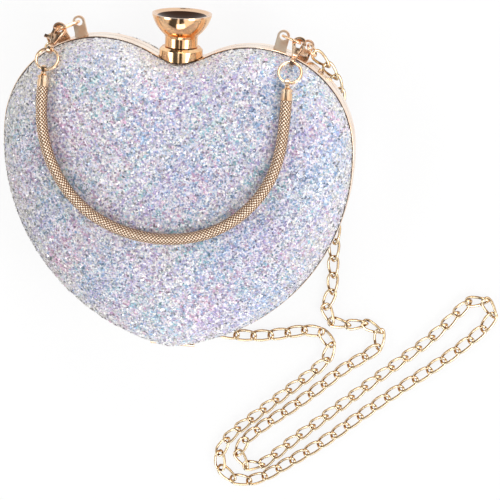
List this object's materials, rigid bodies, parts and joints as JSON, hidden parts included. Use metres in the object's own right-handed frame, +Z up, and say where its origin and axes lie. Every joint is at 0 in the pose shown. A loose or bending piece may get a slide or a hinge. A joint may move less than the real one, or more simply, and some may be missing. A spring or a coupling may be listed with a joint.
{
  "type": "heart shaped purse",
  "caption": "Puffed heart-shaped hard purse with glitter covers, a gold hinged rim, a flared turning clasp, a short mesh handle on clips and a long shoulder chain.",
  "frame": {"origin": "on the table, under the middle of the outline of the purse lying on its back", "axes": "+Z up out of the front cover, +Y towards the clasp, +X to the right as seen from the front"},
  "size_m": [0.2439, 0.253, 0.0639],
  "materials": {
    "gold_metal": "polished",
    "mesh_metal": "fine mesh",
    "chain_metal": "polished",
    "glitter_cloth": "iridescent glitter",
    "shell_board": "plain",
    "lining_cloth": "satin",
    "core_cord": "plain"
  },
  "bodies": {
    "rear_half": {"rear_frame": "gold_metal", "rear_shell": "shell_board", "rear_glitter_cover": "glitter_cloth", "rear_lining": "lining_cloth", "rear_hinge_leaf": "gold_metal", "hinge_pin": "gold_metal", "clasp_collar": "gold_metal", "chain_lug_left": "gold_metal", "chain_lug_right": "gold_metal", "jump_ring_left": "gold_metal", "jump_ring_right": "gold_metal", "shoulder_chain": "chain_metal"},
    "front_half": {"front_frame": "gold_metal", "front_shell": "shell_board", "front_glitter_cover": "glitter_cloth", "front_lining": "lining_cloth", "front_hinge_leaf": "gold_metal", "keeper_post": "gold_metal", "handle_lug_left": "gold_metal", "handle_lug_right": "gold_metal", "lug_link_left": "gold_metal", "lug_link_right": "gold_metal", "clasp_body_left": "gold_metal", "clasp_body_right": "gold_metal", "trigger_pin_left": "gold_metal", "trigger_pin_right": "gold_metal", "split_ring_left": "gold_metal", "split_ring_right": "gold_metal"},
    "clasp": {"clasp_knob": "gold_metal", "clasp_shaft": "gold_metal", "clasp_cam": "gold_metal"},
    "handle": {"end_cap_left": "gold_metal", "end_cap_right": "gold_metal", "handle_sleeve": "mesh_metal", "handle_core": "core_cord"},
    "trigger_left": {"clasp_trigger_left": "gold_metal"},
    "trigger_right": {"clasp_trigger_right": "gold_metal"}
  },
  "joints": [
    {"name": "lid_hinge", "type": "hinge", "parent": "rear_half", "child": "front_half", "pos_m": [0, -0.0816, 0.0285], "axis": [1, 0, 0], "range_deg": [0, 95]},
    {"name": "clasp_turn", "type": "hinge", "parent": "rear_half", "child": "clasp", "pos_m": [0, 0.066, 0.0285], "axis": [0, 1, 0], "range_deg": [0, 85]},
    {"name": "handle_lift", "type": "hinge", "parent": "front_half", "child": "handle", "pos_m": [-0.06095, 0.05659, 0.04848], "axis": [-0.9997, -0.0211, -0.013], "range_deg": [0, 100]},
    {"name": "trigger_left", "type": "hinge", "parent": "front_half", "child": "trigger_left", "pos_m": [-0.05914, 0.06944, 0.03897], "axis": [0, -0.6, -0.8], "range_deg": [0, 18], "stiffness_Nm_per_rad": 0.02, "springref_deg": -11.46},
    {"name": "trigger_right", "type": "hinge", "parent": "front_half", "child": "trigger_right", "pos_m": [0.05673, 0.071, 0.0399], "axis": [0, 0.7071, 0.7071], "range_deg": [0, 18], "stiffness_Nm_per_rad": 0.02, "springref_deg": -11.46}
  ]
}
